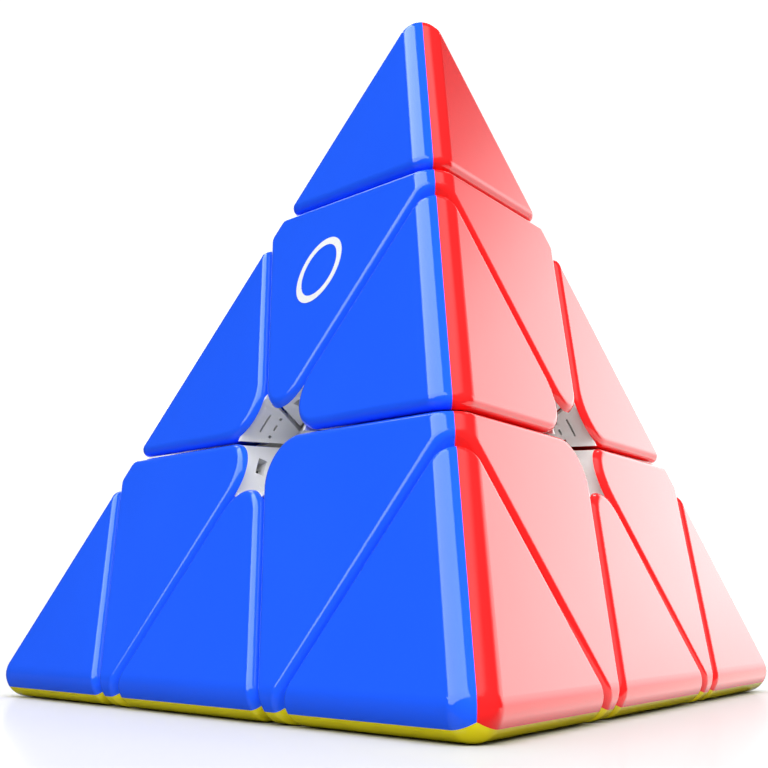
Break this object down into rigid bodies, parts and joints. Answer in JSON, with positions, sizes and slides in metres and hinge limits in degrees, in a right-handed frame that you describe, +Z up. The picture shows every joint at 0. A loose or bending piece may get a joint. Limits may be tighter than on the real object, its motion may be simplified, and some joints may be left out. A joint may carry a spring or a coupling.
{
  "type": "pyramid twisty puzzle",
  "caption": "Tetrahedral twisty puzzle with glossy coloured shells: corner layers turn about the axes through its corners, and the small tips turn on their own.",
  "frame": {"origin": "middle of the core, where the four turning axes meet", "axes": "+Z up through the top corner, at right angles to the yellow face that the puzzle rests on; -Y points to the front corner, so the edge between the blue face (-X side) and the red face (+X side) lies in the YZ plane and faces -Y"},
  "size_m": [0.0978, 0.0855, 0.0809],
  "materials": {
    "blue_shell": "glossy, solid colour",
    "red_shell": "glossy, solid colour",
    "yellow_shell": "glossy, solid colour",
    "green_shell": "glossy, solid colour",
    "white_plastic": "semi-gloss white, moulded",
    "core_plastic": "satin white, moulded",
    "nut_plastic": "satin dark grey, moulded",
    "screw_steel": "zinc plated",
    "spring_steel": "drawn wire",
    "washer_steel": "stamped",
    "magnet_nickel": "nickel plated"
  },
  "bodies": {
    "core": {"core": "core_plastic", "core_magnets": "magnet_nickel", "screws": "screw_steel", "springs": "spring_steel", "washers": "washer_steel", "adjusting_nuts": "nut_plastic"},
    "center_top": {"center_top_body": "white_plastic", "center_top_magnets": "magnet_nickel", "center_top_panel_green": "green_shell", "center_top_panel_red": "red_shell", "center_top_panel_blue": "blue_shell"},
    "tip_top": {"tip_top_hub": "white_plastic", "tip_top_panel_green": "green_shell", "tip_top_panel_red": "red_shell", "tip_top_panel_blue": "blue_shell"},
    "center_front": {"center_front_body": "white_plastic", "center_front_magnets": "magnet_nickel", "center_front_panel_yellow": "yellow_shell", "center_front_panel_red": "red_shell", "center_front_panel_blue": "blue_shell"},
    "tip_front": {"tip_front_hub": "white_plastic", "tip_front_panel_yellow": "yellow_shell", "tip_front_panel_red": "red_shell", "tip_front_panel_blue": "blue_shell"},
    "center_left": {"center_left_body": "white_plastic", "center_left_magnets": "magnet_nickel", "center_left_panel_yellow": "yellow_shell", "center_left_panel_green": "green_shell", "center_left_panel_blue": "blue_shell"},
    "tip_left": {"tip_left_hub": "white_plastic", "tip_left_panel_yellow": "yellow_shell", "tip_left_panel_green": "green_shell", "tip_left_panel_blue": "blue_shell"},
    "center_right": {"center_right_body": "white_plastic", "center_right_magnets": "magnet_nickel", "center_right_panel_yellow": "yellow_shell", "center_right_panel_green": "green_shell", "center_right_panel_red": "red_shell"},
    "tip_right": {"tip_right_hub": "white_plastic", "tip_right_panel_yellow": "yellow_shell", "tip_right_panel_green": "green_shell", "tip_right_panel_red": "red_shell"},
    "edge_top_front": {"edge_top_front_body": "white_plastic", "edge_top_front_panel_red": "red_shell", "edge_top_front_panel_blue": "blue_shell"},
    "edge_top_left": {"edge_top_left_body": "white_plastic", "edge_top_left_panel_green": "green_shell", "edge_top_left_panel_blue": "blue_shell"},
    "edge_top_right": {"edge_top_right_body": "white_plastic", "edge_top_right_panel_green": "green_shell", "edge_top_right_panel_red": "red_shell"},
    "edge_front_left": {"edge_front_left_body": "white_plastic", "edge_front_left_panel_yellow": "yellow_shell", "edge_front_left_panel_blue": "blue_shell"},
    "edge_front_right": {"edge_front_right_body": "white_plastic", "edge_front_right_panel_yellow": "yellow_shell", "edge_front_right_panel_red": "red_shell"},
    "edge_left_right": {"edge_left_right_body": "white_plastic", "edge_left_right_panel_yellow": "yellow_shell", "edge_left_right_panel_green": "green_shell"}
  },
  "joints": [
    {"name": "turn_top", "type": "hinge", "parent": "core", "child": "center_top", "pos_m": [0, 0, 0], "axis": [0, 0, 1], "range_deg": [-480, 480]},
    {"name": "turn_front", "type": "hinge", "parent": "core", "child": "center_front", "pos_m": [0, 0, 0], "axis": [0, -0.9428, -0.3333], "range_deg": [-480, 480]},
    {"name": "turn_left", "type": "hinge", "parent": "core", "child": "center_left", "pos_m": [0, 0, 0], "axis": [-0.8165, 0.4714, -0.3333], "range_deg": [-600, 480]},
    {"name": "turn_right", "type": "hinge", "parent": "core", "child": "center_right", "pos_m": [0, 0, 0], "axis": [0.8165, 0.4714, -0.3333], "range_deg": [-480, 480]},
    {"name": "tip_top_spin", "type": "hinge", "parent": "center_top", "child": "tip_top", "pos_m": [0, 0, 0], "axis": [0, 0, 1], "continuous": true},
    {"name": "tip_front_spin", "type": "hinge", "parent": "center_front", "child": "tip_front", "pos_m": [0, 0, 0], "axis": [0, -0.9428, -0.3333], "continuous": true},
    {"name": "tip_left_spin", "type": "hinge", "parent": "center_left", "child": "tip_left", "pos_m": [0, 0, 0], "axis": [-0.8165, 0.4714, -0.3333], "continuous": true},
    {"name": "tip_right_spin", "type": "hinge", "parent": "center_right", "child": "tip_right", "pos_m": [0, 0, 0], "axis": [0.8165, 0.4714, -0.3333], "continuous": true},
    {"name": "edge_top_front_carry", "type": "hinge", "parent": "center_top", "child": "edge_top_front", "pos_m": [0, 0, 0], "axis": [0, -0.9428, -0.3333], "range_deg": [-480, 480]},
    {"name": "edge_top_left_carry", "type": "hinge", "parent": "center_top", "child": "edge_top_left", "pos_m": [0, 0, 0], "axis": [-0.8165, 0.4714, -0.3333], "range_deg": [-600, 480]},
    {"name": "edge_top_right_carry", "type": "hinge", "parent": "center_right", "child": "edge_top_right", "pos_m": [0, 0, 0], "axis": [0, 0, 1], "range_deg": [-480, 480]},
    {"name": "edge_front_left_carry", "type": "hinge", "parent": "center_front", "child": "edge_front_left", "pos_m": [0, 0, 0], "axis": [-0.8165, 0.4714, -0.3333], "range_deg": [-600, 480]},
    {"name": "edge_front_right_carry", "type": "hinge", "parent": "center_front", "child": "edge_front_right", "pos_m": [0, 0, 0], "axis": [0.8165, 0.4714, -0.3333], "range_deg": [-480, 480]},
    {"name": "edge_left_right_carry", "type": "hinge", "parent": "center_right", "child": "edge_left_right", "pos_m": [0, 0, 0], "axis": [-0.8165, 0.4714, -0.3333], "range_deg": [-600, 480]}
  ],
  "couplings": [
    {"joint": "edge_top_front_carry", "follows": "turn_front", "ratio": 1},
    {"joint": "edge_top_left_carry", "follows": "turn_left", "ratio": 1},
    {"joint": "edge_top_right_carry", "follows": "turn_top", "ratio": 1},
    {"joint": "edge_front_left_carry", "follows": "turn_left", "ratio": 1},
    {"joint": "edge_front_right_carry", "follows": "turn_right", "ratio": 1},
    {"joint": "edge_left_right_carry", "follows": "turn_left", "ratio": 1}
  ]
}
